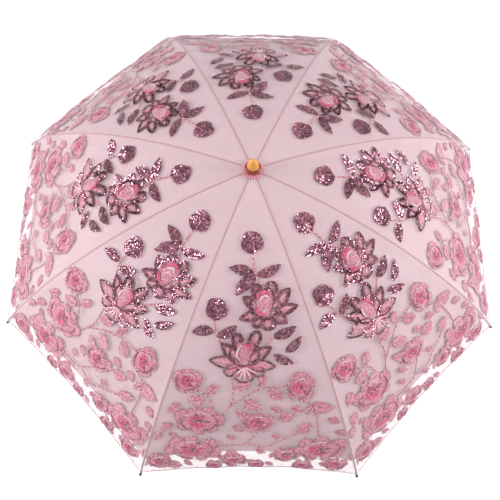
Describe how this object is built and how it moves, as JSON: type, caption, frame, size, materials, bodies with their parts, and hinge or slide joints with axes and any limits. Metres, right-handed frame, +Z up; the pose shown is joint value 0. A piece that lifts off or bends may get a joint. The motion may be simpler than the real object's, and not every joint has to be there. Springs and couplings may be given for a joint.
{
  "type": "lace parasol",
  "caption": "Folding-frame sun parasol with a domed cover of flat gores, spring ribs, stretchers, a sliding runner, two catches and a turned handle.",
  "frame": {"origin": "middle of the handle's straight grip, on the shaft's axis", "axes": "+Z up the shaft to the finial; a gore, not a rib, faces -Y"},
  "size_m": [0.8016, 0.8016, 0.7025],
  "materials": {
    "lacquered_metal": "cream gloss lacquer",
    "steel": "bright",
    "crown_metal": "moulded, gloss",
    "amber": "amber lacquered wood",
    "dark_wood": "dark red-brown lacquer",
    "brass": "polished",
    "satin": "satin",
    "runner": "moulded, gloss",
    "cover": "satin lining under sequinned and embroidered mesh",
    "tip": "black gloss",
    "rib_metal": "cream enamel on spring steel"
  },
  "bodies": {
    "root": {"shaft_tube": "lacquered_metal", "top_crown": "crown_metal", "top_crown_wire": "steel", "crown_washer": "satin", "canopy_ruffle": "satin", "finial_collar": "dark_wood", "finial": "amber", "handle_grip": "dark_wood", "handle_ferrule": "brass", "handle_knob": "amber", "top_catch_pin": "steel", "lower_catch_pin": "steel", "stop_pin": "steel"},
    "rib_body_1": {"rib_1": "rib_metal", "rib_tip_1": "tip", "gore_1": "cover"},
    "stretcher_body_1": {"stretcher_1": "rib_metal", "stretcher_rivet_1": "steel"},
    "rib_body_2": {"rib_2": "rib_metal", "rib_tip_2": "tip", "gore_2": "cover"},
    "stretcher_body_2": {"stretcher_2": "rib_metal", "stretcher_rivet_2": "steel"},
    "rib_body_3": {"rib_3": "rib_metal", "rib_tip_3": "tip", "gore_3": "cover"},
    "stretcher_body_3": {"stretcher_3": "rib_metal", "stretcher_rivet_3": "steel"},
    "rib_body_4": {"rib_4": "rib_metal", "rib_tip_4": "tip", "gore_4": "cover"},
    "stretcher_body_4": {"stretcher_4": "rib_metal", "stretcher_rivet_4": "steel"},
    "rib_body_5": {"rib_5": "rib_metal", "rib_tip_5": "tip", "gore_5": "cover"},
    "stretcher_body_5": {"stretcher_5": "rib_metal", "stretcher_rivet_5": "steel"},
    "rib_body_6": {"rib_6": "rib_metal", "rib_tip_6": "tip", "gore_6": "cover"},
    "stretcher_body_6": {"stretcher_6": "rib_metal", "stretcher_rivet_6": "steel"},
    "rib_body_7": {"rib_7": "rib_metal", "rib_tip_7": "tip", "gore_7": "cover"},
    "stretcher_body_7": {"stretcher_7": "rib_metal", "stretcher_rivet_7": "steel"},
    "rib_body_8": {"rib_8": "rib_metal", "rib_tip_8": "tip", "gore_8": "cover"},
    "stretcher_body_8": {"stretcher_8": "rib_metal", "stretcher_rivet_8": "steel"},
    "runner": {"runner_sleeve": "runner", "runner_crown": "crown_metal", "runner_crown_wire": "steel"},
    "top_catch_body": {"top_catch": "steel"},
    "lower_catch_body": {"lower_catch": "steel"}
  },
  "joints": [
    {"name": "rib_1_fold", "type": "hinge", "parent": "root", "child": "rib_body_1", "pos_m": [-0.00459, -0.01109, 0.57311], "axis": [0.9239, -0.3827, 0], "range_deg": [0, 61.05], "deforming": ["gore_1", "gore_2", "gore_3", "gore_4", "gore_5", "gore_6", "gore_7", "gore_8", "top_catch", "lower_catch"]},
    {"name": "rib_2_fold", "type": "hinge", "parent": "root", "child": "rib_body_2", "pos_m": [0.00459, -0.01109, 0.57311], "axis": [0.9239, 0.3827, 0], "range_deg": [0, 61.05]},
    {"name": "rib_3_fold", "type": "hinge", "parent": "root", "child": "rib_body_3", "pos_m": [0.01109, -0.00459, 0.57311], "axis": [0.3827, 0.9239, 0], "range_deg": [0, 61.05]},
    {"name": "rib_4_fold", "type": "hinge", "parent": "root", "child": "rib_body_4", "pos_m": [0.01109, 0.00459, 0.57311], "axis": [-0.3827, 0.9239, 0], "range_deg": [0, 61.05]},
    {"name": "rib_5_fold", "type": "hinge", "parent": "root", "child": "rib_body_5", "pos_m": [0.00459, 0.01109, 0.57311], "axis": [-0.9239, 0.3827, 0], "range_deg": [0, 61.05]},
    {"name": "rib_6_fold", "type": "hinge", "parent": "root", "child": "rib_body_6", "pos_m": [-0.00459, 0.01109, 0.57311], "axis": [-0.9239, -0.3827, 0], "range_deg": [0, 61.05]},
    {"name": "rib_7_fold", "type": "hinge", "parent": "root", "child": "rib_body_7", "pos_m": [-0.01109, 0.00459, 0.57311], "axis": [-0.3827, -0.9239, 0], "range_deg": [0, 61.05]},
    {"name": "rib_8_fold", "type": "hinge", "parent": "root", "child": "rib_body_8", "pos_m": [-0.01109, -0.00459, 0.57311], "axis": [0.3827, -0.9239, 0], "range_deg": [0, 61.05]},
    {"name": "stretcher_1_swing", "type": "hinge", "parent": "rib_body_1", "child": "stretcher_body_1", "pos_m": [-0.07733, -0.18669, 0.51968], "axis": [0.9239, -0.3827, 0], "range_deg": [-122.09, 0]},
    {"name": "stretcher_2_swing", "type": "hinge", "parent": "rib_body_2", "child": "stretcher_body_2", "pos_m": [0.07733, -0.18669, 0.51968], "axis": [0.9239, 0.3827, 0], "range_deg": [-122.09, 0]},
    {"name": "stretcher_3_swing", "type": "hinge", "parent": "rib_body_3", "child": "stretcher_body_3", "pos_m": [0.18669, -0.07733, 0.51968], "axis": [0.3827, 0.9239, 0], "range_deg": [-122.09, 0]},
    {"name": "stretcher_4_swing", "type": "hinge", "parent": "rib_body_4", "child": "stretcher_body_4", "pos_m": [0.18669, 0.07733, 0.51968], "axis": [-0.3827, 0.9239, 0], "range_deg": [-122.09, 0]},
    {"name": "stretcher_5_swing", "type": "hinge", "parent": "rib_body_5", "child": "stretcher_body_5", "pos_m": [0.07733, 0.18669, 0.51968], "axis": [-0.9239, 0.3827, 0], "range_deg": [-122.09, 0]},
    {"name": "stretcher_6_swing", "type": "hinge", "parent": "rib_body_6", "child": "stretcher_body_6", "pos_m": [-0.07733, 0.18669, 0.51968], "axis": [-0.9239, -0.3827, 0], "range_deg": [-122.09, 0]},
    {"name": "stretcher_7_swing", "type": "hinge", "parent": "rib_body_7", "child": "stretcher_body_7", "pos_m": [-0.18669, 0.07733, 0.51968], "axis": [-0.3827, -0.9239, 0], "range_deg": [-122.09, 0]},
    {"name": "stretcher_8_swing", "type": "hinge", "parent": "rib_body_8", "child": "stretcher_body_8", "pos_m": [-0.18669, -0.07733, 0.51968], "axis": [0.3827, -0.9239, 0], "range_deg": [-122.09, 0]},
    {"name": "runner_slide_turn", "type": "hinge", "parent": "stretcher_body_1", "child": "runner", "pos_m": [-0.00459, -0.01109, 0.46624], "axis": [0.9239, -0.3827, 0], "range_deg": [0, 61.05]},
    {"name": "top_catch_press", "type": "hinge", "parent": "root", "child": "top_catch_body", "pos_m": [0, 0, 0.36594], "axis": [1, 0, 0], "range_deg": [-4.84, 0], "stiffness_Nm_per_rad": 0.15},
    {"name": "lower_catch_press", "type": "hinge", "parent": "root", "child": "lower_catch_body", "pos_m": [0, 0, 0.16104], "axis": [1, 0, 0], "range_deg": [0, 4.84], "stiffness_Nm_per_rad": 0.15}
  ],
  "couplings": [
    {"joint": "rib_2_fold", "follows": "rib_1_fold", "ratio": 1},
    {"joint": "rib_3_fold", "follows": "rib_1_fold", "ratio": 1},
    {"joint": "rib_4_fold", "follows": "rib_1_fold", "ratio": 1},
    {"joint": "rib_5_fold", "follows": "rib_1_fold", "ratio": 1},
    {"joint": "rib_6_fold", "follows": "rib_1_fold", "ratio": 1},
    {"joint": "rib_7_fold", "follows": "rib_1_fold", "ratio": 1},
    {"joint": "rib_8_fold", "follows": "rib_1_fold", "ratio": 1},
    {"joint": "stretcher_1_swing", "follows": "rib_1_fold", "ratio": -2},
    {"joint": "stretcher_2_swing", "follows": "rib_1_fold", "ratio": -2},
    {"joint": "stretcher_3_swing", "follows": "rib_1_fold", "ratio": -2},
    {"joint": "stretcher_4_swing", "follows": "rib_1_fold", "ratio": -2},
    {"joint": "stretcher_5_swing", "follows": "rib_1_fold", "ratio": -2},
    {"joint": "stretcher_6_swing", "follows": "rib_1_fold", "ratio": -2},
    {"joint": "stretcher_7_swing", "follows": "rib_1_fold", "ratio": -2},
    {"joint": "stretcher_8_swing", "follows": "rib_1_fold", "ratio": -2},
    {"joint": "runner_slide_turn", "follows": "rib_1_fold", "ratio": 1}
  ]
}
